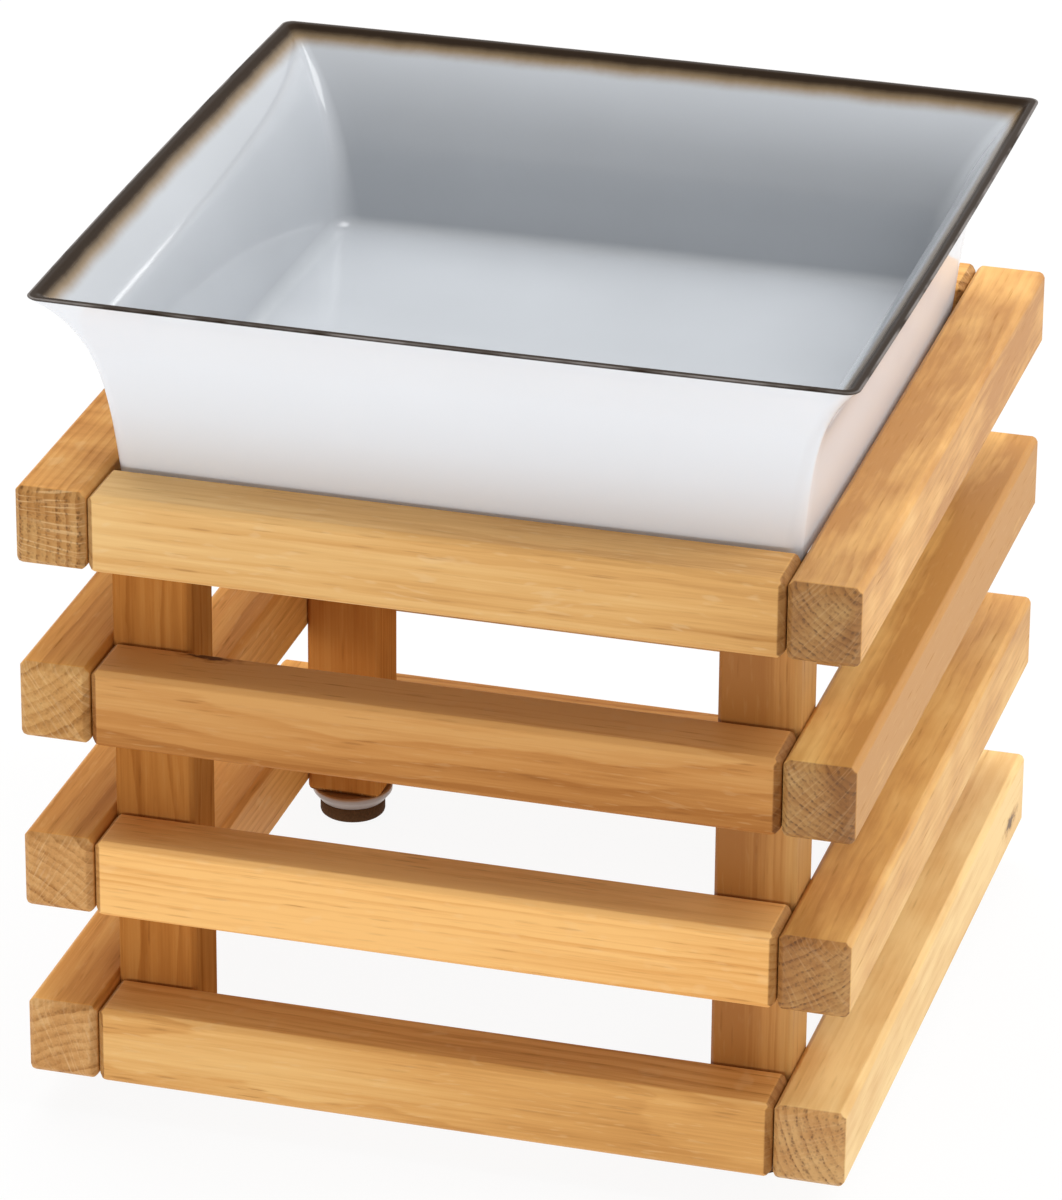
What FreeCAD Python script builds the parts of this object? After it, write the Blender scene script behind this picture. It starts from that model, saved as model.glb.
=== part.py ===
import FreeCAD, Part
import math
import os

# Elevated pet bowl: a square glazed bowl that drops into the top of a slatted oak stand.
# Millimetres, +Z up, front towards -Y. The origin is on the floor under the middle of the stand.

Vector = FreeCAD.Vector

# Slatted stand
STAND_SIDE = 250.0
RAIL_LEVELS = 4
RAIL_THICKNESS = 21.5
RAIL_HEIGHT = 24.4
RAIL_GAP = 31.1
RAIL_EDGE_CHAMFER = 1.6
RAIL_END_CHAMFER = 2.0
RAIL_BUTT_GAP = 0.4

# Corner posts, set into the inner corners of the rails
POST_WIDTH = 24.5
POST_DEPTH = 21.0
POST_DROP = 2.0
POST_EDGE_CHAMFER = 1.4
POST_END_CHAMFER = 1.6
BOWL_SEAT_DROP = 9.0

# Glued dowels, two to a post at each level
DOWEL_DIAMETER = 6.0
DOWEL_HEIGHT = 9.0
DOWEL_RAIL_BORE = 13.0
DOWEL_WEB = 1.2
DOWEL_CHAMFER = 0.8
DOWEL_CLEARANCE = 0.1
DOWEL_END_GAP = 0.5

# Glide feet: a plastic cup screwed under each post, and a felt pad glued to the cup
PAD_DIAMETER = 21.2
PAD_THICKNESS = 5.0
PAD_EDGE_RADIUS = 1.2
CUP_BASE_DIAMETER = 21.6
CUP_TAPER_HEIGHT = 3.0
CUP_RIM_DIAMETER = 26.0
CUP_RIM_HEIGHT = 2.0
SCREW_DIAMETER = 3.5
SCREW_LENGTH = 18.0
SCREW_POINT = 4.0
SCREW_HEAD_DIAMETER = 7.0
SCREW_HEAD_HEIGHT = 2.2
SCREW_CLEARANCE = 0.1

# Bowl
BOWL_HEIGHT = 66.5
BOWL_CLEARANCE = 0.7
BOWL_SIDE_BOW = 1.0
WALL_LEAN = 0.1
FLARE_OUT = 14.4
FLARE_POWER = 4.4
WALL_THICKNESS = 6.0
RIM_THICKNESS = 3.6
THINNING_POWER = 2.0
FLOOR_THICKNESS = 6.5
FOOT_RING_HEIGHT = 3.0
FOOT_RING_WIDTH = 8.0
FOOT_RING_INSET = 5.0
FOOT_RING_FILLET = 1.0
BASE_CORNER_RADIUS = 5.0
RIM_CORNER_RADIUS = 4.0
FLOOR_CORNER_RADIUS = 9.0
RIM_INNER_CORNER_RADIUS = 3.0
FLOOR_FILLET = 7.0
BASE_FILLET = 1.5
LIP_OUTER_RADIUS = 1.0
LIP_INNER_RADIUS = 1.2
WALL_SECTIONS = 9
SECTION_CROWDING = 1.5

# Places worked out from the sizes above
INNER = STAND_SIDE / 2 - RAIL_THICKNESS
CUP_HEIGHT = CUP_TAPER_HEIGHT + CUP_RIM_HEIGHT
POST_BOTTOM = PAD_THICKNESS + CUP_HEIGHT
RAIL_BOTTOM = POST_BOTTOM + POST_DROP
RAIL_PITCH = RAIL_HEIGHT + RAIL_GAP
RAIL_TOP = RAIL_BOTTOM + (RAIL_LEVELS - 1) * RAIL_PITCH + RAIL_HEIGHT
POST_TOP = RAIL_TOP - BOWL_SEAT_DROP
SCREW_HOLE_RADIUS = SCREW_DIAMETER / 2 + SCREW_CLEARANCE
DOWEL_POST_BORE = min(POST_WIDTH, POST_DEPTH) / 2 - SCREW_HOLE_RADIUS - DOWEL_WEB
DOWEL_BORE = DOWEL_POST_BORE + DOWEL_RAIL_BORE
POST_X = INNER - POST_WIDTH / 2
POST_Y = INNER - POST_DEPTH / 2
CORNERS = {
    "front_left": (-1, -1),
    "front_right": (1, -1),
    "back_left": (-1, 1),
    "back_right": (1, 1),
}
DIAGONAL = math.sqrt(0.5)
TOUCH = 0.01
X_AXIS = Vector(1, 0, 0)
Y_AXIS = Vector(0, 1, 0)
Z_AXIS = Vector(0, 0, 1)


def cut_rectangle(low, high, cut, place):
    """A rectangle with its four corners cut off; place turns its two coordinates into a point."""
    (u0, v0), (u1, v1) = low, high
    outline = [
        (u0 + cut, v0),
        (u1 - cut, v0),
        (u1, v0 + cut),
        (u1, v1 - cut),
        (u1 - cut, v1),
        (u0 + cut, v1),
        (u0, v1 - cut),
        (u0, v0 + cut),
    ]
    points = [place(u, v) for u, v in outline]
    return Part.Face(Part.makePolygon(points + points[:1]))


def chamfered_block(low, high, along_x, along_y, along_z):
    """A box from corner to corner whose edges along X, Y and Z have those three chamfers."""
    size = high - low
    end = cut_rectangle((low.y, low.z), (high.y, high.z), along_x, lambda u, v: Vector(low.x, u, v))
    side = cut_rectangle((low.x, low.z), (high.x, high.z), along_y, lambda u, v: Vector(u, low.y, v))
    plan = cut_rectangle((low.x, low.y), (high.x, high.y), along_z, lambda u, v: Vector(u, v, low.z))
    block = end.extrude(X_AXIS * size.x)
    block = block.common(side.extrude(Y_AXIS * size.y))
    return block.common(plan.extrude(Z_AXIS * size.z))


def turned(profile, centre):
    """A solid turned about a vertical axis from (radius, height) points and arc mid points."""
    edges = []
    for start, end, *middle in profile:
        a, b = [Vector(p[0], 0, p[1]) for p in (start, end)]
        if middle:
            edges.append(Part.Arc(a, Vector(middle[0][0], 0, middle[0][1]), b).toShape())
        else:
            edges.append(Part.makeLine(a, b))
    solid = Part.Face(Part.Wire(edges)).revolve(Vector(), Z_AXIS, 360)
    solid.translate(centre)
    return solid


def straight_runs(points):
    """The closed run of straight profile pieces through the points."""
    return list(zip(points, points[1:] + points[:1]))


def rail_level(level):
    """Height of the underside of one level of rails, counted from the lowest."""
    return RAIL_BOTTOM + level * RAIL_PITCH


def dowel_places():
    """Where rails meet posts: a point on the meeting faces, and the way out into the rail."""
    for level in range(RAIL_LEVELS):
        height = rail_level(level) + DOWEL_HEIGHT
        for x, y in CORNERS.values():
            yield Vector(x * INNER, y * POST_Y, height), X_AXIS * x
            yield Vector(x * POST_X, y * INNER, height), Y_AXIS * y


def dowel(meeting, outward):
    """One chamfered dowel, held in a post and a rail."""
    start = meeting - outward * (DOWEL_POST_BORE - DOWEL_END_GAP)
    length = DOWEL_BORE - 2 * DOWEL_END_GAP
    pin = Part.makeCylinder(DOWEL_DIAMETER / 2, length, start, outward)
    rims = [edge for edge in pin.Edges if edge.Closed]
    return pin.makeChamfer(DOWEL_CHAMFER, rims)


def dowel_hole(meeting, outward):
    """The blind bores for one dowel. In the post they stop short of the screw up its middle."""
    start = meeting - outward * DOWEL_POST_BORE
    return Part.makeCylinder(DOWEL_DIAMETER / 2 + DOWEL_CLEARANCE, DOWEL_BORE, start, outward)


def bored(piece, holes):
    """The piece with every hole that reaches it cut away."""
    near = [h for h in holes if h.BoundBox.intersect(piece.BoundBox)]
    return piece.cut(near)


def side_rail(side, level):
    """A left or right rail: the full depth of the stand, its end grain at the front and back."""
    outer = side * STAND_SIDE / 2
    low = Vector(min(outer, side * INNER), -STAND_SIDE / 2, rail_level(level))
    high = Vector(max(outer, side * INNER), STAND_SIDE / 2, rail_level(level) + RAIL_HEIGHT)
    return chamfered_block(low, high, RAIL_END_CHAMFER, RAIL_EDGE_CHAMFER, RAIL_END_CHAMFER)


def cross_rail(side, level):
    """A front or back rail, butted between the side rails and flush with their ends."""
    outer = side * STAND_SIDE / 2
    reach = INNER - RAIL_BUTT_GAP
    low = Vector(-reach, min(outer, side * INNER), rail_level(level))
    high = Vector(reach, max(outer, side * INNER), rail_level(level) + RAIL_HEIGHT)
    return chamfered_block(low, high, RAIL_EDGE_CHAMFER, RAIL_END_CHAMFER, RAIL_END_CHAMFER)


def screw_place(corner):
    """The middle of a post's foot, where its glide is screwed on."""
    x, y = corner
    return Vector(x * POST_X, y * POST_Y, PAD_THICKNESS)


def screw_outline(grow):
    """Half outline of a countersunk screw, head down, grown all round for the hole that takes it."""
    head = SCREW_HEAD_DIAMETER / 2 + grow
    shank = SCREW_DIAMETER / 2 + grow
    top = SCREW_LENGTH + grow
    neck = SCREW_HEAD_HEIGHT + grow
    return [(0, 0), (head, 0), (shank, neck), (shank, top - SCREW_POINT), (0, top)]


def glide_screw(corner):
    """The screw that holds one glide."""
    return turned(straight_runs(screw_outline(0)), screw_place(corner))


def glide_screw_hole(corner):
    """The countersunk hole through the cup and the pilot hole in the post."""
    return turned(straight_runs(screw_outline(SCREW_CLEARANCE)), screw_place(corner))


def glide_cup(corner):
    """The plastic cup of a glide: a straight rim against the post and a taper down to the pad."""
    rim = CUP_RIM_DIAMETER / 2
    base = CUP_BASE_DIAMETER / 2
    outline = [(0, 0), (base, 0), (rim, CUP_TAPER_HEIGHT), (rim, CUP_HEIGHT), (0, CUP_HEIGHT)]
    cup = turned(straight_runs(outline), screw_place(corner))
    return cup.cut(glide_screw_hole(corner))


def glide_pad(corner):
    """The felt pad of a glide, with a rounded lower edge."""
    side = PAD_DIAMETER / 2
    flat = side - PAD_EDGE_RADIUS
    bulge = PAD_EDGE_RADIUS * DIAGONAL
    profile = [
        ((0, 0), (flat, 0)),
        ((flat, 0), (side, PAD_EDGE_RADIUS), (flat + bulge, PAD_EDGE_RADIUS - bulge)),
        ((side, PAD_EDGE_RADIUS), (side, PAD_THICKNESS)),
        ((side, PAD_THICKNESS), (0, PAD_THICKNESS)),
        ((0, PAD_THICKNESS), (0, 0)),
    ]
    place = screw_place(corner)
    return turned(profile, Vector(place.x, place.y, 0))


def post(corner):
    """A corner post, its two outer faces against the rails, its top the seat of the bowl."""
    x, y = corner
    half = Vector(POST_WIDTH / 2, POST_DEPTH / 2, 0)
    middle = Vector(x * POST_X, y * POST_Y, 0)
    low = middle - half + Z_AXIS * POST_BOTTOM
    high = middle + half + Z_AXIS * POST_TOP
    return chamfered_block(low, high, POST_END_CHAMFER, POST_END_CHAMFER, POST_EDGE_CHAMFER)


def bowed_square(half, corner, height):
    """A square outline with bowed sides and tangent corner arcs; half is measured at mid side."""
    bow_radius = (half**2 + BOWL_SIDE_BOW**2) / (2 * BOWL_SIDE_BOW)
    offset = bow_radius - half
    reach = bow_radius - corner
    centre = (math.sqrt(2 * reach**2 - offset**2) - offset) / 2
    turn = math.atan2(centre, centre + offset)
    start = Vector(-bow_radius * math.sin(turn), offset - bow_radius * math.cos(turn), height)
    end = Vector(-start.x, start.y, height)
    bend = centre + corner * DIAGONAL
    side = Part.Arc(start, Vector(0, -half, height), end).toShape()
    after = Vector(-start.y, start.x, height)
    round_corner = Part.Arc(end, Vector(bend, -bend, height), after).toShape()
    edges = []
    for quarter in range(4):
        for edge in (side, round_corner):
            copy = edge.copy()
            copy.rotate(Vector(), Z_AXIS, 90 * quarter)
            edges.append(copy)
    return Part.Wire(edges)


def outer_half(height):
    """Half width of the bowl outside, at a height above its foot: a leaning wall and a flare."""
    at_rails = INNER - BOWL_CLEARANCE
    lean = WALL_LEAN * (height - BOWL_SEAT_DROP)
    return at_rails + lean + FLARE_OUT * (height / BOWL_HEIGHT) ** FLARE_POWER


def inner_half(height):
    """Half width of the bowl inside: the wall thins towards the rim."""
    thin = (WALL_THICKNESS - RIM_THICKNESS) * (height / BOWL_HEIGHT) ** THINNING_POWER
    return outer_half(height) - WALL_THICKNESS + thin


def blend(low, high, height):
    """A value that runs evenly from the foot of the bowl to its rim."""
    return low + (high - low) * height / BOWL_HEIGHT


def wall_heights(low, high):
    """Heights of the wall's sections, closer together up in the flare."""
    steps = [1 - i / (WALL_SECTIONS - 1) for i in range(WALL_SECTIONS)]
    return [low + (high - low) * (1 - step**SECTION_CROWDING) for step in steps]


def flat_edges(solid, height):
    """The edges of a solid that lie flat at one height."""
    boxes = [(edge, edge.BoundBox) for edge in solid.Edges]
    return [e for e, b in boxes if abs(b.ZMin - height) < TOUCH and abs(b.ZMax - height) < TOUCH]


def bowl():
    """The square bowl: flared shell, corners drawn out towards the rim, foot ring under the floor."""
    outside = [
        bowed_square(outer_half(h), blend(BASE_CORNER_RADIUS, RIM_CORNER_RADIUS, h), h)
        for h in wall_heights(FOOT_RING_HEIGHT, BOWL_HEIGHT)
    ]
    shell = Part.makeLoft(outside, True, False)
    shell = shell.makeFillet(BASE_FILLET, flat_edges(shell, FOOT_RING_HEIGHT))
    shell = shell.makeFillet(LIP_OUTER_RADIUS, flat_edges(shell, BOWL_HEIGHT))
    floor = FOOT_RING_HEIGHT + FLOOR_THICKNESS
    inside = [
        bowed_square(inner_half(h), blend(FLOOR_CORNER_RADIUS, RIM_INNER_CORNER_RADIUS, h), h)
        for h in wall_heights(floor, BOWL_HEIGHT)
    ]
    cavity = Part.makeLoft(inside, True, False)
    cavity = cavity.makeFillet(FLOOR_FILLET, flat_edges(cavity, floor))
    shell = shell.cut(cavity)
    mouth = inside[-1]
    lip = [e for e in flat_edges(shell, BOWL_HEIGHT) if e.distToShape(mouth)[0] < TOUCH]
    shell = shell.makeFillet(LIP_INNER_RADIUS, lip)
    whole = shell.fuse(foot_ring())
    whole.translate(Z_AXIS * POST_TOP)
    return whole


def foot_ring():
    """The square ring that the bowl stands on, with rounded lower edges."""
    half = outer_half(FOOT_RING_HEIGHT) - FOOT_RING_INSET
    outside = Part.Face(bowed_square(half, BASE_CORNER_RADIUS, 0))
    inside = Part.Face(bowed_square(half - FOOT_RING_WIDTH, BASE_CORNER_RADIUS, 0))
    ring = outside.cut(inside).extrude(Z_AXIS * FOOT_RING_HEIGHT)
    return ring.makeFillet(FOOT_RING_FILLET, flat_edges(ring, 0))


def write(node, shape):
    """Writes one node, a solid or a group of solids."""
    shape.exportStep("parts/" + node + ".step")
    print(node, len(shape.Solids), round(shape.Volume, 1), shape.isValid())


def main():
    os.makedirs("parts", exist_ok=True)
    places = list(dowel_places())
    holes = [dowel_hole(*place) for place in places]
    for level in range(RAIL_LEVELS):
        number = str(level + 1)
        write("rail_left_" + number, bored(side_rail(-1, level), holes))
        write("rail_right_" + number, bored(side_rail(1, level), holes))
        write("rail_front_" + number, bored(cross_rail(-1, level), holes))
        write("rail_back_" + number, bored(cross_rail(1, level), holes))
    for name, corner in CORNERS.items():
        write("post_" + name, bored(post(corner), holes + [glide_screw_hole(corner)]))
        write("glide_cup_" + name, glide_cup(corner))
        write("glide_pad_" + name, glide_pad(corner))
    write("dowels", Part.makeCompound([dowel(*place) for place in places]))
    write("glide_screws", Part.makeCompound([glide_screw(c) for c in CORNERS.values()]))
    write("bowl", bowl())


main()
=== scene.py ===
import math

import bmesh
import bpy
from mathutils import Matrix, Vector


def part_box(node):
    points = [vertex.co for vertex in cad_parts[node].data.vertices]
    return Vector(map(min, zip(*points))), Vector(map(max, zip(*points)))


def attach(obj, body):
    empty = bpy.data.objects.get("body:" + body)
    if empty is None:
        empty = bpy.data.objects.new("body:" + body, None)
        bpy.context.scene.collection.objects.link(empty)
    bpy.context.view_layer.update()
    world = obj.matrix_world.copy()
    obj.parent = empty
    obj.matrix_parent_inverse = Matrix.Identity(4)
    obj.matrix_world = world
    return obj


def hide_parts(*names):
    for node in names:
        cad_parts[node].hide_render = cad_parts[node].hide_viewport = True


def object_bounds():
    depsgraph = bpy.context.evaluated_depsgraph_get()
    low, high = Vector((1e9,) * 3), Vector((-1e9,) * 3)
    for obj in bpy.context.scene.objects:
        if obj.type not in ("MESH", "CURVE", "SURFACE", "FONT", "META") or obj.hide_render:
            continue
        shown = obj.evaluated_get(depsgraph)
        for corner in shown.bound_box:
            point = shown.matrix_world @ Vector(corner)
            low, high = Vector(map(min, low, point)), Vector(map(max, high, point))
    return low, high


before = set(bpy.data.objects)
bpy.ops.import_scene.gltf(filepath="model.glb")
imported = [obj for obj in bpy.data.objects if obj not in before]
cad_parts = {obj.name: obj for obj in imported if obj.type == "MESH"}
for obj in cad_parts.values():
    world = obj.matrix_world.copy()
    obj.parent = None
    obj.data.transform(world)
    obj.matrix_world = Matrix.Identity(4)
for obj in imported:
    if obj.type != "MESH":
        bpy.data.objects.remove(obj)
cad_low, cad_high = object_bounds()

# Elevated pet bowl: a square glazed bowl in a slatted oak stand. Metres, +Z up, front towards -Y.
# Boards, bowl and glides are meshes that stand for their solids; dowels and screws are the solids.
MM = 0.001
CORNERS = ("front_left", "front_right", "back_left", "back_right")

# Camera, fitted to the corners of the rails
CAMERA_PLACE = (0.4887, -1.7627, 0.9715)
CAMERA_FORWARD = (-0.24509, 0.87450, -0.41855)
CAMERA_ROLL = math.radians(0.474)
CAMERA_LENS = 199.21
CAMERA_SENSOR = 36.0

# Boards
RAIL_EDGE_CHAMFER = 1.6 * MM
RAIL_END_CHAMFER = 2.0 * MM
POST_EDGE_CHAMFER = 1.4 * MM
POST_END_CHAMFER = 1.6 * MM
SANDED_EDGE = 0.45 * MM
SANDED_SEGMENTS = 3
COPLANAR_ANGLE = math.radians(1)
ALONG_X = Matrix.Identity(3)
ALONG_Y = Matrix.Rotation(math.radians(90), 3, "Z")
ALONG_Z = Matrix.Rotation(math.radians(-90), 3, "Y")

# Bowl, in millimetres above its foot and out from its middle
BOWL_SEAT_DROP = 9.0
BOWL_CLEARANCE = 0.7
BOWL_SIDE_BOW = 1.0
WALL_LEAN = 0.1
FLARE_OUT = 14.4
FLARE_POWER = 4.4
WALL_THICKNESS = 6.0
RIM_THICKNESS = 2.9
FLOOR_THICKNESS = 6.5
FOOT_RING_HEIGHT = 3.0
FOOT_RING_WIDTH = 11.5
FOOT_RING_INSET = 1.5
FOOT_RING_FILLET = 0.6
BASE_CORNER_RADIUS = 5.0
RIM_CORNER_RADIUS = 4.0
FLOOR_CORNER_RADIUS = 9.0
RIM_INNER_CORNER_RADIUS = 3.0
LEAST_CORNER_RADIUS = 2.0
MOST_CORNER_SHARE = 0.9
FLOOR_FILLET = 7.0
BASE_FILLET = 0.8
LIP_OUTER_RADIUS = 1.3
LIP_INNER_RADIUS = 1.4
UNDERSIDE_WIDTHS = (0.5, 30.0, 60.0, 82.0)
FLOOR_WIDTHS = (84.0, 72.0, 60.0, 48.0, 36.0, 24.0, 12.0, 0.5)
WALL_STEPS = 22
WALL_CROWDING = 1.5
SIDE_STEPS = 36
CORNER_STEPS = 10
ARC_STEPS = 7
ARC_SHARE = 0.98

# Glides, turned from (radius, height) points in millimetres
TURNED_STEPS = 72
TURNED_SHARP = math.radians(40)
CUP_OUTLINE = (
    (0.4, 0.0), (10.4, 0.0), (10.8, 0.3), (12.8, 2.8), (13.0, 3.2), (13.0, 4.6), (12.6, 5.0), (0.4, 5.0),
)
PAD_OUTLINE = (
    (0.4, 0.0), (9.2, 0.0), (9.9, 0.15), (10.4, 0.6), (10.6, 1.3), (10.6, 4.6), (10.4, 4.9), (9.8, 5.0),
    (0.4, 5.0),
)


def new_object(name, mesh, body, node, place=Matrix.Identity(4)):
    """Puts a mesh in the scene as the piece that stands for a solid."""
    piece = bpy.data.objects.new(name, mesh)
    bpy.context.scene.collection.objects.link(piece)
    piece.matrix_world = place
    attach(piece, body)
    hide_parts(node)
    return piece


def finished_mesh(shape, name, material):
    """A smooth mesh of a shape, which is used up."""
    mesh = bpy.data.meshes.new(name)
    shape.to_mesh(mesh)
    shape.free()
    mesh.shade_smooth()
    mesh.materials.append(material)
    return mesh


def skin(shape, rings):
    """Joins rings of points one to the next and closes both ends."""
    for a, b in zip(rings, rings[1:]):
        for i in range(len(a)):
            j = (i + 1) % len(a)
            shape.faces.new((a[i], a[j], b[j], b[i]))
    shape.faces.new(reversed(rings[0]))
    shape.faces.new(rings[-1])
    bmesh.ops.recalc_face_normals(shape, faces=shape.faces)


class Nodes:
    """A material whose nodes are added one call at a time."""

    def __init__(self, name):
        self.material = bpy.data.materials.new(name)
        self.material.use_nodes = True
        self.tree = self.material.node_tree
        self.tree.nodes.clear()
        self.output = self.tree.nodes.new("ShaderNodeOutputMaterial")

    def plug(self, socket, value):
        """Links a socket to a socket, or sets it to a value."""
        if isinstance(value, bpy.types.NodeSocket):
            self.tree.links.new(value, socket)
        else:
            socket.default_value = value

    def add(self, kind, out=0, settings=None, **inputs):
        """Adds a node; inputs are named as in Blender, in lower case with _ for spaces."""
        node = self.tree.nodes.new("ShaderNode" + kind)
        for key, value in (settings or {}).items():
            setattr(node, key, value)
        for key, value in inputs.items():
            wanted = key.replace("_", " ").lower()
            socket = next(s for s in node.inputs if s.name.lower() == wanted and s.enabled)
            self.plug(socket, value)
        return node.outputs[out]

    def here(self):
        """The place on the piece, in its own frame and in metres."""
        return self.add("TexCoord", 3)

    def split(self, vector):
        """The three numbers of a vector."""
        node = self.tree.nodes.new("ShaderNodeSeparateXYZ")
        self.plug(node.inputs[0], vector)
        return tuple(node.outputs)

    def math(self, operation, *values):
        node = self.tree.nodes.new("ShaderNodeMath")
        node.operation = operation
        for socket, value in zip(node.inputs, values):
            self.plug(socket, value)
        return node.outputs[0]

    def times(self, first, second):
        return self.math("MULTIPLY", first, second)

    def times_plus(self, first, second, third):
        return self.math("MULTIPLY_ADD", first, second, third)

    def vector(self, operation, *values):
        node = self.tree.nodes.new("ShaderNodeVectorMath")
        node.operation = operation
        for socket, value in zip(node.inputs, values):
            self.plug(socket, value)
        return node.outputs["Value" if operation == "LENGTH" else "Vector"]

    def step(self, value, low, high):
        """A smooth step from 0 at low to 1 at high; low may be above high."""
        node = self.tree.nodes.new("ShaderNodeMapRange")
        node.interpolation_type = "SMOOTHSTEP"
        ends = (low, high, 0.0, 1.0) if low < high else (high, low, 1.0, 0.0)
        for socket, end in zip(list(node.inputs)[1:5], ends):
            socket.default_value = end
        self.plug(node.inputs[0], value)
        return node.outputs[0]

    def mix(self, factor, first, second, blend="MIX"):
        node = self.tree.nodes.new("ShaderNodeMix")
        node.data_type = "RGBA"
        node.blend_type = blend
        self.plug(node.inputs[0], factor)
        for socket, colour in ((node.inputs[6], first), (node.inputs[7], second)):
            self.plug(socket, (*colour, 1.0) if isinstance(colour, tuple) else colour)
        return node.outputs[2]

    def noise(self, vector, stretch, detail=2.0, out=0):
        """Noise at a place that is stretched along each axis."""
        stretched = self.vector("MULTIPLY", vector, stretch)
        return self.add("TexNoise", out, vector=stretched, scale=1.0, detail=detail)

    def cells(self, vector, stretch):
        """The distance from a place, stretched along each axis, to the nearest of scattered points."""
        stretched = self.vector("MULTIPLY", vector, stretch)
        return self.add("TexVoronoi", vector=stretched, scale=1.0, randomness=1.0)

    def ramp(self, factor, *stops):
        """A colour ramp through (place, colour) stops."""
        node = self.tree.nodes.new("ShaderNodeValToRGB")
        while len(node.color_ramp.elements) < len(stops):
            node.color_ramp.elements.new(1.0)
        for element, (place, colour) in zip(node.color_ramp.elements, stops):
            element.position = place
            element.color = (*colour, 1.0)
        self.plug(node.inputs[0], factor)
        return node.outputs[0]

    def finish(self, **inputs):
        shader = self.add("BsdfPrincipled", **inputs)
        self.tree.links.new(shader, self.output.inputs["Surface"])
        return self.material


def even(scale):
    """The same stretch along all three axes."""
    return (scale, scale, scale)


# Oak

OAK_LIGHT = (0.80, 0.475, 0.175)
OAK_MIDDLE = (0.68, 0.35, 0.108)
OAK_DARK = (0.48, 0.21, 0.052)
OAK_PORE = (0.25, 0.105, 0.03)
OAK_RAY = (0.80, 0.54, 0.27)
END_PORE = (0.085, 0.036, 0.013)
EARLY_END = (0.5, 0.42, 0.36)
OAK_END = (0.60, 0.57, 0.56)
DARK_END = (0.56, 0.50, 0.45)
PALE_END = (0.85, 0.93, 1.28)

# Noise per millimetre, along the grain and across it
WANDER = (0.009, 0.014, 0.014)
FEATHER = (0.07, 0.45, 0.45)
RAGGED_KNOT = (0.35, 0.6, 0.6)
BROAD = (0.007, 0.045, 0.045)
STREAK = (0.012, 0.42, 0.42)
FIBRE = (0.04, 1.7, 1.7)
PORE_CELLS = (0.075, 0.72, 0.72)
CURL = (0.17, 0.05, 0.05)
FLECK = (0.035, 0.11, 0.11)

# Noise per millimetre for the ray flecks: along the board, round the rings and out from the pith; for the
# rows of pores in the end grain: out, round and along; for the rays there: round and out
RAY_SHEET = (0.13, 1.1, 0.11)
PORE_ROWS = (1.0, 0.8, 0.05)
SPOKE_FAN = (1.3, 0.06, 1.0)

# How far apart the boards lie in the noise, in millimetres for each seed
SEED_STEP = (131.7, 17.3, 29.1)

# Rings: their wander for each mm of figure, their feathering in mm, and their early wood
FIGURE_REACH = 2.4
FEATHER_WIDTH = 1.1
UNEVEN_PER_MM = 0.07
UNEVEN_RINGS = 2.0
EARLY_RISES = (0.0, 0.12)
EARLY_FADES = (0.75, 0.12)
YEAR_CHANGE = 0.75

# Knots: drawn out along the grain, the rest as shares of their radius
KNOT_STRETCH = (0.28, 1.0, 1.0)
KNOT_WIDTH = 1.6
KNOT_BULGE = 1.8
KNOT_BROWN = (1.5, 0.7)
KNOT_HEART = (0.8, 0.45)
KNOT_BROWN_STRENGTH = 0.7
KNOT_HEART_STRENGTH = 0.85

# Between which values of their noise pores, rays and end grain show, and how strongly
PORE_SHOWS = (0.40, 0.16)
PORE_FIBRES = (0.38, 0.60)
PORE_EARLY = 0.9
PORE_LATE = 0.12
RAY_SHOWS = (0.60, 0.74)
HOLE_SHOWS = (0.50, 0.22)
HOLE_EARLY = 0.8
HOLE_LATE = 0.25
SPOKE_SHOWS = (0.54, 0.68)
END_SHOWS = (0.25, 0.7)
PORE_STRENGTH = 0.62
EARLY_END_STRENGTH = 0.5
HOLE_STRENGTH = 0.75

# How much each darkens the wood, and the half sizes of a rail in millimetres that drift and the painted
# face shade go by
STREAK_DARK = 0.9
FIBRE_DARK = 0.55
EARLY_DARK = 0.42
BASE_LIGHT = 0.32
MIDDLE_DARK = 0.45
RAIL_HALF_LENGTH = 125.0
RAIL_HALF_DEPTH = 11.0

# Oiled surface
OAK_ROUGH = 0.46
FIBRE_ROUGH = 0.10
PORE_ROUGH = 0.25
FIBRE_HEIGHT = 0.25
OAK_RELIEF = dict(strength=0.3, distance=0.05 * MM)


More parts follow.
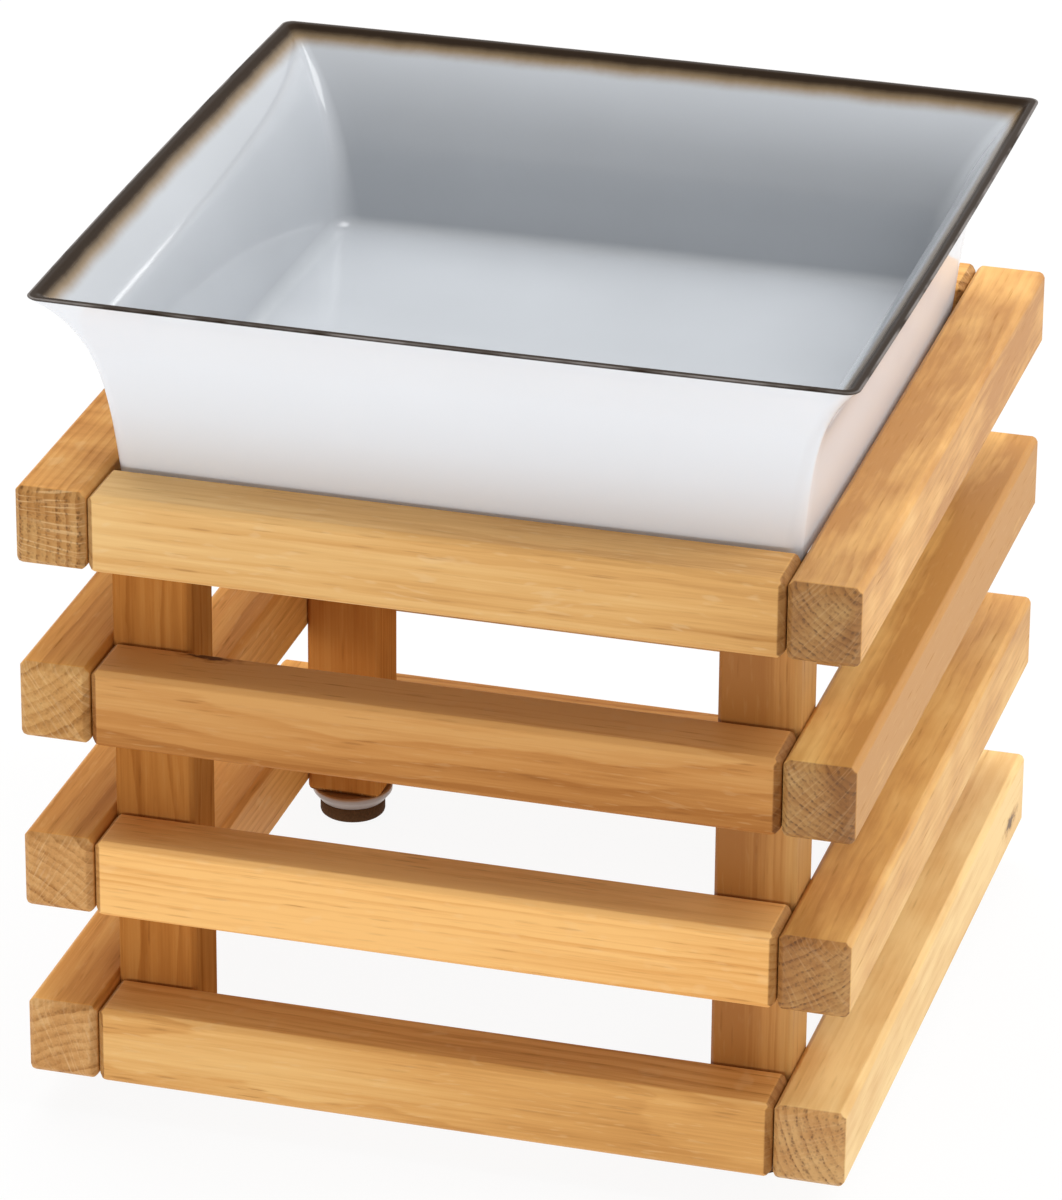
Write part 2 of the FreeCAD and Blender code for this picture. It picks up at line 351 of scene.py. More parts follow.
def oak(name, pith, spacing=2.8, tilt=(0.0, 0.0), seed=0, tone=(1.0, 1.0, 1.0), end_tone=OAK_END, shade=0.0,
        drift=0.0, slope=(0.0, 0.0), figure=3.0, fiddle=0.0, mottle=0.0, blotch=1.0, grain=0.8, bands=1.0,
        rays=0.22, spokes=0.25, end_grain=1.0, gloss=0.1, knot=None):
    """Solid oak, with its grain along the board's own X.

    Pith is where the rings' middle lies across the board, spacing the width of a ring and figure how far
    the rings wander, all in mm; tilt is how the pith leans along the board. Tone tints the board and
    end_tone its end grain. Shade darkens the board, or lightens it if below 0; drift is how much it darkens
    from the middle to the far end, and slope is painted shade and light: how much it darkens
    from the middle to its own +Y and +Z sides, so that a top or side looks shaded or lit. Fiddle and mottle
    are the strength of the curl across the grain and of its flecks, and blotch, grain, bands and rays that
    of the broad tones, the fibres, the rings and the ray flecks. In the end grain, spokes is the strength of
    the rays and end_grain that of the pores and rings. A knot is (place, radius) in mm."""
    n = Nodes(name)
    place = n.vector("MULTIPLY", n.here(), even(1.0 / MM))
    seeded = n.vector("ADD", place, tuple(seed * step for step in SEED_STEP))

    # Rings about the pith, which leans and wanders along the board
    wander = n.vector("SUBTRACT", n.noise(seeded, WANDER, out=1), even(0.5))
    shift = n.vector("MULTIPLY", wander, (0.0, figure * FIGURE_REACH, figure * FIGURE_REACH))
    along, side, up = n.split(n.vector("SUBTRACT", n.vector("ADD", place, shift), (0.0, *pith)))
    lean_y = n.times_plus(along, tilt[0], side)
    lean_z = n.times_plus(along, tilt[1], up)
    radius = n.vector("LENGTH", n.add("CombineXYZ", y=lean_y, z=lean_z))
    radius = n.times_plus(n.noise(seeded, FEATHER), FEATHER_WIDTH, radius)
    if knot:
        centre, size = knot
        width = size * KNOT_WIDTH
        away = n.vector("MULTIPLY", n.vector("SUBTRACT", place, centre), KNOT_STRETCH)
        ragged = n.math("SUBTRACT", n.noise(seeded, RAGGED_KNOT), 0.5)
        near = n.times_plus(ragged, width, n.vector("LENGTH", away))
        bulge = n.math("POWER", math.e, n.times(n.math("POWER", near, 2.0), -0.5 / width**2))
        radius = n.times_plus(bulge, size * KNOT_BULGE, radius)
    one_dimension = {"noise_dimensions": "1D"}
    uneven = n.add("TexNoise", settings=one_dimension, w=n.times(radius, UNEVEN_PER_MM), scale=1.0)
    turns = n.times_plus(uneven, UNEVEN_RINGS, n.math("DIVIDE", radius, spacing))
    ring = n.math("FRACT", turns)
    year = n.add("TexWhiteNoise", settings=one_dimension, w=n.math("FLOOR", turns))
    early = n.times(n.step(ring, *EARLY_FADES), n.step(ring, *EARLY_RISES))
    early = n.times(early, n.times_plus(year, YEAR_CHANGE, 1.0 - YEAR_CHANGE))

    # Streaks, fibres and pores, drawn out along the grain, and rays, which are thin sheets out from the pith
    broad = n.noise(seeded, BROAD)
    streak = n.noise(seeded, STREAK)
    fibre = n.noise(seeded, FIBRE, detail=3.0)
    pore = n.step(n.cells(seeded, PORE_CELLS), *PORE_SHOWS)
    pore = n.times(pore, n.step(fibre, *PORE_FIBRES))
    pore = n.times(pore, n.times_plus(early, PORE_EARLY, PORE_LATE))
    arc = n.times(n.math("ARCTAN2", lean_z, lean_y), math.hypot(*pith))
    sheet = n.add("CombineXYZ", x=along, y=arc, z=radius)
    ray = n.step(n.noise(sheet, RAY_SHEET, detail=1.0), *RAY_SHOWS)

    # End grain: pores in rows along the rings, and fine rays across them
    section = n.add("CombineXYZ", x=radius, y=arc, z=along)
    hole = n.step(n.cells(section, PORE_ROWS), *HOLE_SHOWS)
    hole = n.times(hole, n.times_plus(early, HOLE_EARLY, HOLE_LATE))
    fan = n.add("CombineXYZ", x=arc, y=radius)
    spoke = n.step(n.noise(fan, SPOKE_FAN, detail=1.0), *SPOKE_SHOWS)

    # Colour
    dark = n.times_plus(streak, STREAK_DARK * grain, n.times(broad, blotch))
    dark = n.times_plus(fibre, FIBRE_DARK * grain, dark)
    dark = n.times_plus(early, EARLY_DARK * bands, dark)
    dark = n.times_plus(along, drift / RAIL_HALF_LENGTH, dark)
    # Painted shade and light: darker towards the board's own +Y and +Z sides, so that a top or side looks
    # shaded or lit
    dark = n.times_plus(side, slope[0] / RAIL_HALF_DEPTH, dark)
    dark = n.times_plus(up, slope[1] / RAIL_HALF_DEPTH, dark)
    light = BASE_LIGHT - shade + 0.5 * blotch - 0.5 * (STREAK_DARK + FIBRE_DARK) * (1.0 - grain)
    light -= (slope[0] * pith[0] + slope[1] * pith[1]) / RAIL_HALF_DEPTH
    if fiddle:
        dark = n.times_plus(n.noise(seeded, CURL), fiddle, dark)
        light += 0.5 * fiddle
    if mottle:
        dark = n.times_plus(n.noise(seeded, FLECK, detail=3.0), mottle, dark)
        light += 0.5 * mottle
    dark = n.math("SUBTRACT", dark, light)
    colour = n.ramp(dark, (0.0, OAK_LIGHT), (MIDDLE_DARK, OAK_MIDDLE), (1.0, OAK_DARK))
    colour = n.mix(n.times(ray, rays), colour, OAK_RAY)
    colour = n.mix(n.times(pore, PORE_STRENGTH * grain), colour, OAK_PORE)
    if knot:
        brown = n.step(near, *(size * share for share in KNOT_BROWN))
        heart = n.step(near, *(size * share for share in KNOT_HEART))
        colour = n.mix(n.times(brown, KNOT_BROWN_STRENGTH), colour, OAK_DARK)
        colour = n.mix(n.times(heart, KNOT_HEART_STRENGTH), colour, END_PORE)
    colour = n.mix(1.0, colour, tone, "MULTIPLY")
    facing = n.split(n.add("TexCoord", 1))
    end = n.step(n.math("ABSOLUTE", facing[0]), *END_SHOWS)
    cut_end = n.mix(1.0, colour, end_tone, "MULTIPLY")
    cut_end = n.mix(n.times(early, EARLY_END_STRENGTH * end_grain), cut_end, EARLY_END, "MULTIPLY")
    cut_end = n.mix(n.times(spoke, spokes), cut_end, OAK_RAY)
    cut_end = n.mix(n.times(hole, HOLE_STRENGTH * end_grain), cut_end, END_PORE)
    colour = n.mix(end, colour, cut_end)

    rough = n.times_plus(pore, PORE_ROUGH, n.times_plus(fibre, FIBRE_ROUGH, OAK_ROUGH))
    height = n.math("SUBTRACT", n.times(fibre, FIBRE_HEIGHT), pore)
    bump = n.add("Bump", height=height, **OAK_RELIEF)
    return n.finish(base_color=colour, roughness=rough, specular_ior_level=gloss, normal=bump)


# Stand

FRONT_LOOK = dict(spokes=0.08, end_grain=0.4, end_tone=DARK_END)
RIGHT_LOOK = dict(grain=0.5, bands=0.5, rays=0.06, spokes=0.12, gloss=0.4)
LEFT_LOOK = dict(end_grain=0.4, end_tone=PALE_END)

# Each board's cut: where its pith lies across the board, and what else sets it apart. Some boards have
# painted shade and light on their faces: a top or side darker or lighter as the light falls on it
RAIL_CUTS = {
    "rail_front_4": dict(pith=(8, -38), spacing=4.0, figure=5.0, seed=1, tone=(1.02, 1.10, 1.24),
                         drift=0.32, grain=0.65, bands=0.6, **FRONT_LOOK),
    "rail_front_3": dict(pith=(-34, 16), spacing=3.6, figure=7.0, seed=2, tone=(0.78, 0.68, 0.61),
                         slope=(0.0, -0.45), knot=((-72, 8, 12), 2.4), **FRONT_LOOK),
    "rail_front_2": dict(pith=(6, 60), spacing=2.6, figure=2.5, seed=3, tone=(1.14, 1.10, 1.06),
                         shade=-0.40, **FRONT_LOOK),
    "rail_front_1": dict(pith=(46, 6), spacing=5.0, tilt=(0.05, 0.0), figure=7.0, seed=4, shade=-0.08,
                         drift=0.04, **FRONT_LOOK),
    "rail_right_4": dict(pith=(-40, 44), spacing=2.0, figure=6.0, seed=5, tone=(1.0, 1.03, 0.99),
                         end_tone=(0.53, 0.475, 0.44), shade=0.27, slope=(0.0, 0.05), mottle=1.7, blotch=1.5,
                         **RIGHT_LOOK),
    "rail_right_3": dict(pith=(-36, 46), spacing=2.0, figure=4.0, seed=6, tone=(1.03, 1.12, 1.06),
                         end_tone=(0.53, 0.45, 0.42), shade=0.28, slope=(-0.65, 0.0), mottle=1.7, blotch=1.5,
                         **RIGHT_LOOK),
    "rail_right_2": dict(pith=(24, 40), spacing=2.2, figure=4.0, seed=7, tone=(0.96, 1.0, 0.94),
                         end_tone=(0.60, 0.51, 0.46), shade=0.14, drift=0.06, slope=(0.12, 0.0), mottle=1.4,
                         blotch=1.5, **RIGHT_LOOK),
    "rail_right_1": dict(pith=(-70, 30), spacing=2.6, figure=3.0, seed=8, tone=(1.05, 1.22, 1.42),
                         end_tone=(0.70, 0.57, 0.48), shade=-0.26, drift=0.05, mottle=1.0, blotch=1.4,
                         knot=((104, -10.75, -3), 2.6), **RIGHT_LOOK),
    "rail_left_4": dict(pith=(70, 4), spacing=2.6, figure=3.0, seed=9, tone=(0.99, 0.91, 0.79),
                        end_tone=(0.70, 0.72, 0.82), fiddle=1.1, grain=0.6, rays=0.3, spokes=0.45),
    "rail_left_3": dict(pith=(40, 50), spacing=3.0, figure=5.0, seed=10, tone=(0.95, 0.88, 0.68),
                        **LEFT_LOOK),
    "rail_left_2": dict(pith=(30, -50), spacing=3.0, figure=4.0, seed=11, tone=(1.0, 0.92, 0.76),
                        **LEFT_LOOK),
    "rail_left_1": dict(pith=(-20, -60), spacing=3.0, figure=4.0, seed=12, tone=(1.0, 0.92, 0.76),
                        **LEFT_LOOK),
    "rail_back_4": dict(pith=(20, 50), spacing=3.2, figure=4.0, seed=13),
    "rail_back_3": dict(pith=(-44, 20), spacing=3.8, figure=5.0, seed=14),
    "rail_back_2": dict(pith=(10, -56), spacing=3.0, figure=4.0, seed=15),
    "rail_back_1": dict(pith=(-30, -40), spacing=3.6, figure=5.0, seed=16, tone=(0.72, 0.66, 0.58)),
}
# The front right post's side, lit from the right, is painted lighter than its front
POST_CUTS = {
    "post_front_left": dict(pith=(30, 26), spacing=2.8, seed=21, tone=(0.64, 0.50, 0.36), rays=0.08,
                            gloss=0.0),
    "post_front_right": dict(pith=(-34, 40), spacing=2.6, seed=22, tone=(0.71, 0.65, 0.56), shade=0.50,
                             slope=(0.0, 0.8), rays=0.08, gloss=0.3),
    "post_back_left": dict(pith=(50, 10), spacing=2.8, seed=23, tone=(0.68, 0.50, 0.34), rays=0.08,
                           gloss=0.0),
    "post_back_right": dict(pith=(-20, -46), spacing=3.0, seed=24, tone=(0.65, 0.55, 0.43), rays=0.08,
                            gloss=0.0),
}


def chamfered_points(half, chamfers):
    """Corner points of a box whose edges along X, Y and Z have those three chamfers."""
    cut_x, cut_y, cut_z = chamfers
    tip = Vector((cut_y + cut_z - cut_x, cut_x + cut_z - cut_y, cut_x + cut_y - cut_z)) / 2
    corner = (
        Vector((0, cut_z, cut_y)),
        Vector((cut_z, 0, cut_x)),
        Vector((cut_y, cut_x, 0)),
        tip,
    )
    signs = [Vector((x, y, z)) for x in (-1, 1) for y in (-1, 1) for z in (-1, 1)]
    return [(half - cut) * sign for sign in signs for cut in corner]


def board(node, turn, edge_chamfer, end_chamfer, cut):
    """A sanded board in the box of its solid; turn takes its own X, along the grain, to its direction."""
    low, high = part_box(node)
    half = turn.transposed() @ ((high - low) / 2)
    half = Vector(abs(v) for v in half)
    shape = bmesh.new()
    for point in chamfered_points(half, (edge_chamfer, end_chamfer, end_chamfer)):
        shape.verts.new(point)
    bmesh.ops.convex_hull(shape, input=shape.verts)
    bmesh.ops.dissolve_limit(shape, angle_limit=COPLANAR_ANGLE, verts=shape.verts, edges=shape.edges)
    bmesh.ops.bevel(
        shape, geom=shape.edges[:], offset=SANDED_EDGE, segments=SANDED_SEGMENTS, profile=0.5, affect="EDGES"
    )
    name = "oak_" + node
    place = Matrix.Translation((low + high) / 2) @ turn.to_4x4()
    piece = new_object(name, finished_mesh(shape, name, oak(name, **cut)), "stand", node, place)
    normals = piece.modifiers.new("flat_faces", "WEIGHTED_NORMAL")
    normals.keep_sharp = True


def stand():
    for node, cut in RAIL_CUTS.items():
        turn = ALONG_X if "front" in node or "back" in node else ALONG_Y
        board(node, turn, RAIL_EDGE_CHAMFER, RAIL_END_CHAMFER, cut)
    for node, cut in POST_CUTS.items():
        board(node, ALONG_Z, POST_EDGE_CHAMFER, POST_END_CHAMFER, cut)


# Bowl


def bowl_sizes():
    """The bowl's height, the half width of the opening that takes it, and the height of its foot, in mm."""
    low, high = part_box("bowl")
    opening = -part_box("rail_left_4")[1].x
    return (high.z - low.z) / MM, opening / MM, low.z / MM


BOWL_HEIGHT, OPENING_HALF, BOWL_FOOT = bowl_sizes()


def outer_half(height):
    """Half width of the bowl outside, at a height above its foot."""
    lean = WALL_LEAN * (height - BOWL_SEAT_DROP)
    flare = FLARE_OUT * (max(height, 0.0) / BOWL_HEIGHT) ** FLARE_POWER
    return OPENING_HALF - BOWL_CLEARANCE + lean + flare


def inner_half(height):
    """Half width of the bowl inside: the wall thins towards the rim."""
    thin = (WALL_THICKNESS - RIM_THICKNESS) * (height / BOWL_HEIGHT) ** 2
    return outer_half(height) - WALL_THICKNESS + thin


def blend(low, high, height):
    """A size that goes from low at the bowl's foot to high at its rim."""
    return low + (high - low) * height / BOWL_HEIGHT


def rounded(points, radii):
    """A profile with arcs of those radii, in mm, at its inner points."""
    line = [points[0]]
    for before, corner, after, radius in zip(points, points[1:], points[2:], radii):
        if not radius:
            line.append(corner)
            continue
        room = ARC_SHARE * min((before - corner).length, (after - corner).length)
        back = (before - corner).normalized()
        ahead = (after - corner).normalized()
        half_turn = back.angle(ahead) / 2
        reach = min(radius / math.tan(half_turn), room)
        radius = reach * math.tan(half_turn)
        centre = corner + (back + ahead).normalized() * (radius / math.sin(half_turn))
        start, end = corner + back * reach - centre, corner + ahead * reach - centre
        for i in range(ARC_STEPS + 1):
            line.append(centre + start.slerp(end, i / ARC_STEPS).normalized() * radius)
    line.append(points[-1])
    return line


def wall_heights(low, high):
    """Heights up a wall, closer together in the flare."""
    shares = [1 - (1 - i / WALL_STEPS) ** WALL_CROWDING for i in range(WALL_STEPS + 1)]
    return [low + (high - low) * share for share in shares]


def bowl_profile():
    """Points of the bowl's half section, from the middle of its underside round to the middle of its floor:
    (half width, height, way along from the lip; minus outside and plus inside)."""
    foot = outer_half(FOOT_RING_HEIGHT) - FOOT_RING_INSET
    floor_height = FOOT_RING_HEIGHT + FLOOR_THICKNESS
    under = [Vector((x, FOOT_RING_HEIGHT)) for x in UNDERSIDE_WIDTHS]
    ring = [
        Vector((foot - FOOT_RING_WIDTH, FOOT_RING_HEIGHT)),
        Vector((foot - FOOT_RING_WIDTH, 0)),
        Vector((foot, 0)),
        Vector((foot, FOOT_RING_HEIGHT)),
    ]
    outer = [Vector((outer_half(h), h)) for h in wall_heights(FOOT_RING_HEIGHT, BOWL_HEIGHT)]
    inner = [Vector((inner_half(h), h)) for h in reversed(wall_heights(floor_height, BOWL_HEIGHT))]
    inside = [Vector((x, floor_height)) for x in FLOOR_WIDTHS]
    radii = [0] * (len(under) - 1) + [FOOT_RING_FILLET] * len(ring)
    radii += [BASE_FILLET] + [0] * (len(outer) - 2) + [LIP_OUTER_RADIUS]
    radii += [LIP_INNER_RADIUS] + [0] * (len(inner) - 2) + [FLOOR_FILLET] + [0] * (len(inside) - 1)
    line = rounded(under + ring + outer + inner + inside, radii)
    crest = max(range(len(line)), key=lambda i: (line[i].y, line[i].x))
    way = [0.0]
    for a, b in zip(line, line[1:]):
        way.append(way[-1] + (b - a).length)
    return [(p.x, p.y, w - way[crest]) for p, w in zip(line, way)]


def corner_radius(half, height, way):
    """Radius of the outline's corners at a point of the profile."""
    if way <= 0:
        wanted = blend(BASE_CORNER_RADIUS, RIM_CORNER_RADIUS, height)
        wanted -= max(0.0, outer_half(height) - half)
    else:
        wanted = blend(FLOOR_CORNER_RADIUS, RIM_INNER_CORNER_RADIUS, height)
        wanted -= max(0.0, inner_half(height) - half)
    return min(max(wanted, LEAST_CORNER_RADIUS), half * MOST_CORNER_SHARE)


def bowed_square(half, corner):
    """Points round a square outline with bowed sides and tangent corner arcs."""
    bow = BOWL_SIDE_BOW * min(1.0, half / OPENING_HALF) ** 2
    bow_radius = (half**2 + bow**2) / (2 * bow)
    offset = bow_radius - half
    reach = bow_radius - corner
    centre = (math.sqrt(2 * reach**2 - offset**2) - offset) / 2
    turn = math.atan2(centre, centre + offset)
    quarter = []
    for i in range(SIDE_STEPS):
        angle = turn * (2 * i / SIDE_STEPS - 1)
        quarter.append(Vector((bow_radius * math.sin(angle), offset - bow_radius * math.cos(angle))))
    first, last = -math.pi / 2 + turn, -turn
    for i in range(CORNER_STEPS):
        angle = first + (last - first) * i / CORNER_STEPS
        quarter.append(Vector((centre + corner * math.cos(angle), -centre + corner * math.sin(angle))))
    points = []
    for k in range(4):
        spin = Matrix.Rotation(math.radians(90 * k), 2)
        points += [spin @ p for p in quarter]
    return points


GLAZE_WHITE = (0.80, 0.83, 0.875)
GLAZE_GREY = (0.446, 0.466, 0.492)
GLAZE_AMBER = (0.22, 0.145, 0.068)
GLAZE_BROWN = (0.024, 0.015, 0.009)
GLAZE_BREAK_AND_HIGHLIGHT = (0.17, 0.152, 0.142)
BARE_CLAY = (0.66, 0.61, 0.54)
GREY_CLOUDS = (0.93, 1.06)
WHITE_CLOUDS = (0.98, 1.02)

# Where the glaze changes, in millimetres along from the lip: inside is plus, outside is minus. It wavers by
# the two reaches and breaks paler over the crest in patches of the wave, a paleness that is also a painted
# highlight along the crest; the clay is bare that far above the foot
BROWN_TO_AMBER = (3.3, 7.2)
AMBER_TO_GREY = (5.6, 10.6)
IRON_FADES = (6.4, 3.6)
LIP_TO_WHITE = (-0.7, -1.4)
BREAK_OUTSIDE = (-0.75, -0.3)
BREAK_INSIDE = (0.6, 0.1)
BREAK_PATCHES = (0.3, 0.6)
WAVE_REACH = 1.6
FINE_REACH = 0.5
FOOT_TO_BARE = (0.7, 0.3)

# Noise per metre
WAVE = (55.0, 55.0, 55.0)
FINE = (420.0, 420.0, 420.0)
CLOUD = (18.0, 18.0, 18.0)
RIPPLE = (38.0, 38.0, 38.0)

# Glazed surface: what iron, white glaze and bare clay add to the roughness and gloss of the inside
GLAZE_ROUGH = 0.09
IRON_ROUGH = 0.22
CLAY_ROUGH = 0.6
GLAZE_GLOSS = 0.5
WHITE_GLOSS = -0.38
IRON_GLOSS = -0.46
GLAZE_RELIEF = dict(strength=0.15, distance=0.4 * MM)


def glaze():
    """White glaze outside, blue-grey inside, iron brown over the lip, where it breaks paler along the crest,
    which also paints a highlight there; the foot ring stands on bare clay."""
    n = Nodes("glaze")
    way = n.add("Attribute", 2, settings={"attribute_name": "way_from_lip"})
    here = n.here()
    wave = n.noise(here, WAVE, detail=3.0)
    fine = n.noise(here, FINE)
    inner = n.times_plus(n.math("SUBTRACT", wave, 0.5), WAVE_REACH, way)
    inner = n.times_plus(n.math("SUBTRACT", fine, 0.5), FINE_REACH, inner)
    cloud = n.noise(here, CLOUD)
    inside = n.mix(cloud, *(tuple(share * c for c in GLAZE_GREY) for share in GREY_CLOUDS))
    outside = n.mix(cloud, *(tuple(share * c for c in GLAZE_WHITE) for share in WHITE_CLOUDS))
    colour = n.mix(n.step(inner, *AMBER_TO_GREY), GLAZE_AMBER, inside)
    colour = n.mix(n.step(inner, *BROWN_TO_AMBER), GLAZE_BROWN, colour)
    # Pale patches along the crest: the glaze breaking thin, and also a painted highlight on the crest
    crest = n.times(n.step(way, *BREAK_OUTSIDE), n.step(way, *BREAK_INSIDE))
    crest = n.times(crest, n.step(wave, *BREAK_PATCHES))
    colour = n.mix(crest, colour, GLAZE_BREAK_AND_HIGHLIGHT)
    white = n.step(way, *LIP_TO_WHITE)
    colour = n.mix(white, colour, outside)
    bare = n.step(n.split(here)[2], *((BOWL_FOOT + above) * MM for above in FOOT_TO_BARE))
    colour = n.mix(bare, colour, BARE_CLAY)
    iron = n.times(n.step(inner, *IRON_FADES), n.math("SUBTRACT", 1.0, white))
    rough = n.times_plus(iron, IRON_ROUGH, n.times_plus(bare, CLAY_ROUGH, GLAZE_ROUGH))
    gloss = n.times_plus(iron, IRON_GLOSS, n.times_plus(white, WHITE_GLOSS, GLAZE_GLOSS))
    ripple = n.noise(here, RIPPLE, detail=1.0)
    bump = n.add("Bump", height=ripple, **GLAZE_RELIEF)
    return n.finish(base_color=colour, roughness=rough, specular_ior_level=gloss, normal=bump)


def bowl():
    """The bowl, with the way from its lip kept as an attribute for the glaze."""
    shape = bmesh.new()
    way_layer = shape.verts.layers.float.new("way_from_lip")
    rings = []
    for half, height, way in bowl_profile():
        loop = []
        for p in bowed_square(half, corner_radius(half, height, way)):
            vert = shape.verts.new((p.x * MM, p.y * MM, (BOWL_FOOT + height) * MM))
            vert[way_layer] = way
            loop.append(vert)
        rings.append(loop)
    skin(shape, rings)
    new_object("glazed_bowl", finished_mesh(shape, "glazed_bowl", glaze()), "bowl", "bowl")


# Glides

CUP_MILKY = ((0.39, 0.31, 0.27), (0.50, 0.42, 0.38))
CUP_OVER_OAK = (0.40, 0.19, 0.07)
CUP_CLEARS = (8.9 * MM, 9.9 * MM)
FELT_FUZZ = ((0.040, 0.017, 0.006), (0.125, 0.058, 0.024))
FELT_CLOUD = (0.08, 0.04, 0.018)


def cup_plastic():
    """Milky plastic that clears towards its rim, where the oak of the post shows through."""
    n = Nodes("cup_plastic")
    here = n.here()
    cloud = n.noise(here, even(160.0), detail=3.0)
    milky = n.mix(cloud, *CUP_MILKY)
    height = n.times_plus(cloud, 0.6 * MM, n.split(here)[2])
    colour = n.mix(n.step(height, *CUP_CLEARS), milky, CUP_OVER_OAK)
    rough = n.times_plus(cloud, 0.15, 0.28)
    return n.finish(base_color=colour, roughness=rough, transmission_weight=0.2, ior=1.49)


def felt():
    n = Nodes("felt")
    here = n.here()
    fuzz = n.noise(here, even(1400.0), detail=4.0)
    cloud = n.noise(here, even(260.0))
    colour = n.mix(fuzz, *FELT_FUZZ)
    colour = n.mix(n.times(cloud, 0.5), colour, FELT_CLOUD)
    bump = n.add("Bump", strength=0.8, distance=0.3 * MM, height=fuzz)
    return n.finish(
        base_color=colour, roughness=0.95, specular_ior_level=0.1, sheen_weight=0.03, sheen_roughness=0.5,
        normal=bump,
    )


def turned(name, outline, node, material):
    """A piece turned about the middle of its solid, from (radius, height) points above the solid's foot."""
    low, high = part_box(node)
    middle = (low + high) / 2
    shape = bmesh.new()
    rings = []
    for radius, height in outline:
        loop = []
        for i in range(TURNED_STEPS):
            angle = 2 * math.pi * i / TURNED_STEPS
            x, y = radius * MM * math.cos(angle), radius * MM * math.sin(angle)
            loop.append(shape.verts.new((middle.x + x, middle.y + y, low.z + height * MM)))
        rings.append(loop)
    skin(shape, rings)
    mesh = finished_mesh(shape, name, material)
    mesh.set_sharp_from_angle(angle=TURNED_SHARP)
    new_object(name, mesh, "stand", node)


def glides():
    plastic, pad = cup_plastic(), felt()
    for corner in CORNERS:
        turned("cup_" + corner, CUP_OUTLINE, "glide_cup_" + corner, plastic)
        turned("pad_" + corner, PAD_OUTLINE, "glide_pad_" + corner, pad)


# Dowels and screws, inside the boards

BEECH = ((0.50, 0.36, 0.21), (0.66, 0.50, 0.32))
ZINC = ((0.52, 0.52, 0.53), (0.66, 0.66, 0.65))
ZINC_GRAIN = (1500.0, 1500.0, 200.0)


def dowel_wood():
    n = Nodes("dowel_wood")
    fibre = n.noise(n.here(), even(900.0), detail=3.0)
    return n.finish(base_color=n.mix(fibre, *BEECH), roughness=0.6)


def screw_steel():
    n = Nodes("screw_steel")
    grain = n.noise(n.here(), ZINC_GRAIN)
    return n.finish(base_color=n.mix(grain, *ZINC), roughness=n.times_plus(grain, 0.2, 0.25), metallic=1.0)


def hidden_fixings():
    for node, material in (("dowels", dowel_wood()), ("glide_screws", screw_steel())):
        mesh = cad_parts[node].data
        mesh.materials.clear()
        mesh.materials.append(material)


# Floor, light and camera

WHITE = (1.0, 1.0, 1.0, 1.0)
FLOOR_HALF = 6.0
FLOOR_DROP = 0.1 * MM
FLOOR_PALE = (0.88, 0.88, 0.88, 1.0)
FLOOR_SEEN = 0.92
# The floor glows white at this share for the rays that bounce off it, and so lights the object from below
# like a lamp
FLOOR_GLOW = 0.6
WORLD_STRENGTH = 0.40
LAMPS = {
    "key": dict(place=(1.3, 0.15, 2.05), size=(1.3, 1.3), power=27.5),
    "top": dict(place=(-0.5, 0.75, 2.0), size=(1.8, 1.8), power=37.0, seen_in_gloss=False),
    "fill": dict(place=(-1.2, -2.9, 0.3), size=(2.8, 0.5), power=37.0, seen_in_gloss=False),
    "side": dict(place=(2.3, 0.2, 1.0), size=(1.2, 0.8), power=14.0, seen_in_gloss=False),
    "strip": dict(place=(0.8, 1.87, 0.42), size=(1.8, 0.035), power=1.0),
}


def background_rays(tree):
    """1 for the rays that see the white background: from the camera, from gloss and through clear pieces."""
    paths = tree.nodes.new("ShaderNodeLightPath")
    seen = paths.outputs["Is Camera Ray"]
    for name in ("Is Glossy Ray", "Is Transmission Ray"):
        most = tree.nodes.new("ShaderNodeMath")
        most.operation = "MAXIMUM"
        tree.links.new(seen, most.inputs[0])
        tree.links.new(paths.outputs[name], most.inputs[1])
        seen = most.outputs[0]
    return seen


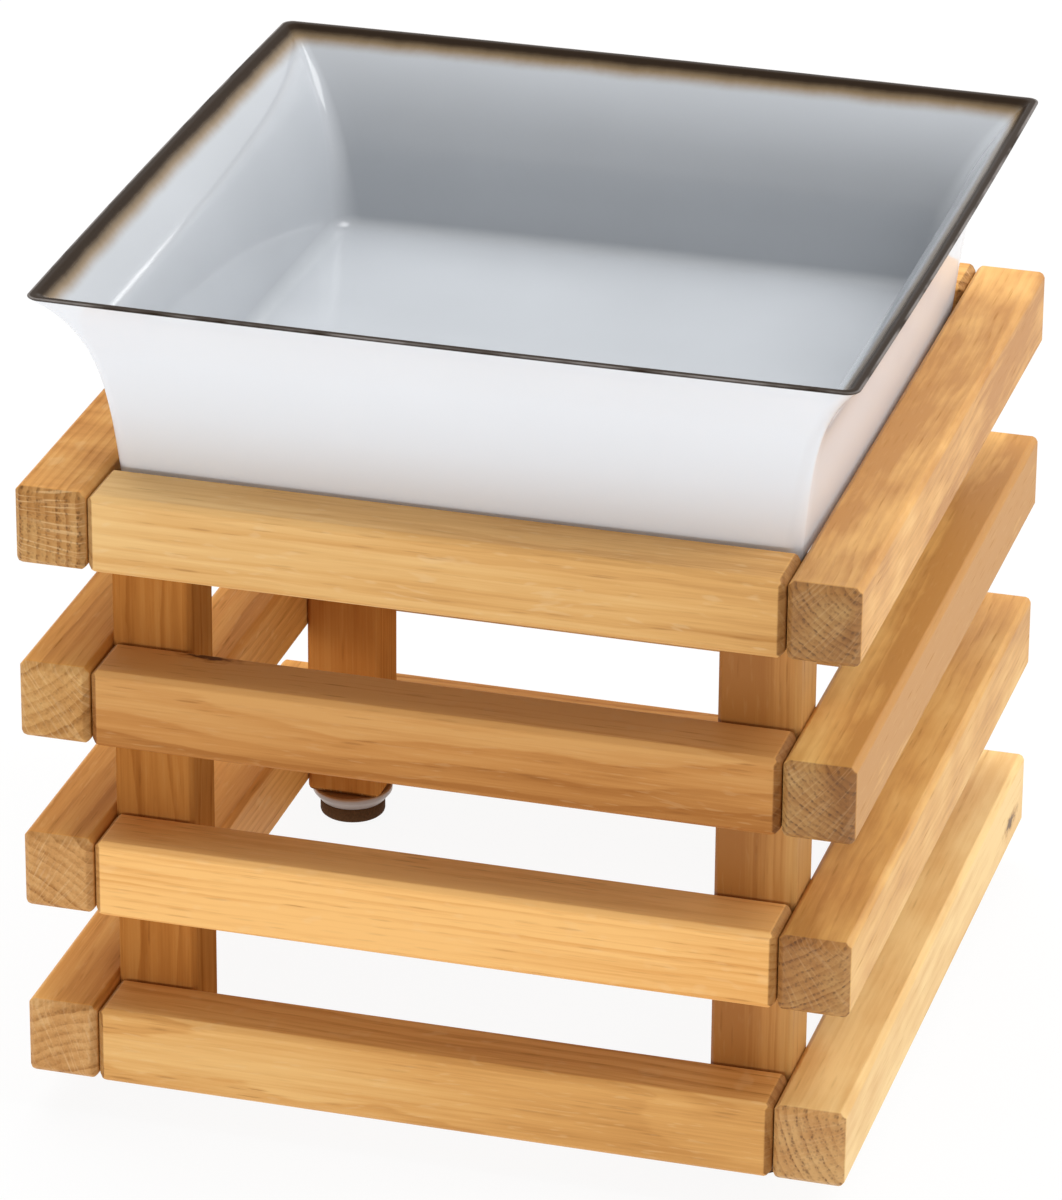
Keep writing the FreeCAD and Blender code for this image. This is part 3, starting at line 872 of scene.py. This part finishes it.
def floor():
    """A pale floor that keeps the shadow; the share of white in it is greater for the rays that see it."""
    mesh = bpy.data.meshes.new("floor")
    shape = bmesh.new()
    bmesh.ops.create_grid(shape, x_segments=1, y_segments=1, size=FLOOR_HALF)
    shape.to_mesh(mesh)
    shape.free()
    plane = bpy.data.objects.new("floor", mesh)
    plane.location.z = -FLOOR_DROP
    bpy.context.scene.collection.objects.link(plane)
    n = Nodes("pale_floor")
    seen = background_rays(n.tree)
    both = n.add("MixShader")
    factor, first, second = both.node.inputs
    # Glowing floor: white for the rays that see it, and a glow at FLOOR_GLOW that lights the object
    n.plug(factor, n.times_plus(seen, FLOOR_SEEN - FLOOR_GLOW, FLOOR_GLOW))
    n.plug(first, n.add("BsdfDiffuse", color=FLOOR_PALE))
    n.plug(second, n.add("Emission", color=WHITE, strength=1.0))
    n.tree.links.new(both, n.output.inputs["Surface"])
    mesh.materials.append(n.material)


def softbox(name, place, size, power, seen_in_gloss=True):
    """A rectangular lamp that is turned to the middle of the object."""
    lamp = bpy.data.lights.new(name, "AREA")
    lamp.shape = "RECTANGLE"
    lamp.size, lamp.size_y = size
    lamp.energy = power
    thing = bpy.data.objects.new(name, lamp)
    thing.location = place
    thing.visible_glossy = seen_in_gloss
    middle = (cad_low + cad_high) / 2
    thing.rotation_euler = (middle - thing.location).to_track_quat("-Z", "Y").to_euler()
    bpy.context.scene.collection.objects.link(thing)


def light():
    world = bpy.data.worlds.new("studio")
    bpy.context.scene.world = world
    world.use_nodes = True
    tree = world.node_tree
    tree.nodes.clear()
    strength = tree.nodes.new("ShaderNodeMapRange")
    strength.inputs["To Min"].default_value = WORLD_STRENGTH
    strength.inputs["To Max"].default_value = 1.0
    tree.links.new(background_rays(tree), strength.inputs["Value"])
    background = tree.nodes.new("ShaderNodeBackground")
    background.inputs["Color"].default_value = WHITE
    tree.links.new(strength.outputs[0], background.inputs["Strength"])
    output = tree.nodes.new("ShaderNodeOutputWorld")
    tree.links.new(background.outputs[0], output.inputs["Surface"])
    for name, lamp in LAMPS.items():
        softbox(name, **lamp)


def camera():
    lens = bpy.data.cameras.new("camera")
    lens.lens = CAMERA_LENS
    lens.sensor_width = CAMERA_SENSOR
    thing = bpy.data.objects.new("camera", lens)
    aim = Vector(CAMERA_FORWARD).to_track_quat("-Z", "Y").to_matrix()
    roll = Matrix.Rotation(CAMERA_ROLL, 3, "Z")
    thing.matrix_world = Matrix.Translation(CAMERA_PLACE) @ (aim @ roll).to_4x4()
    bpy.context.scene.collection.objects.link(thing)
    bpy.context.scene.camera = thing


stand()
bowl()
glides()
hidden_fixings()
floor()
light()
camera()
bpy.context.scene.view_settings.view_transform = "Standard"
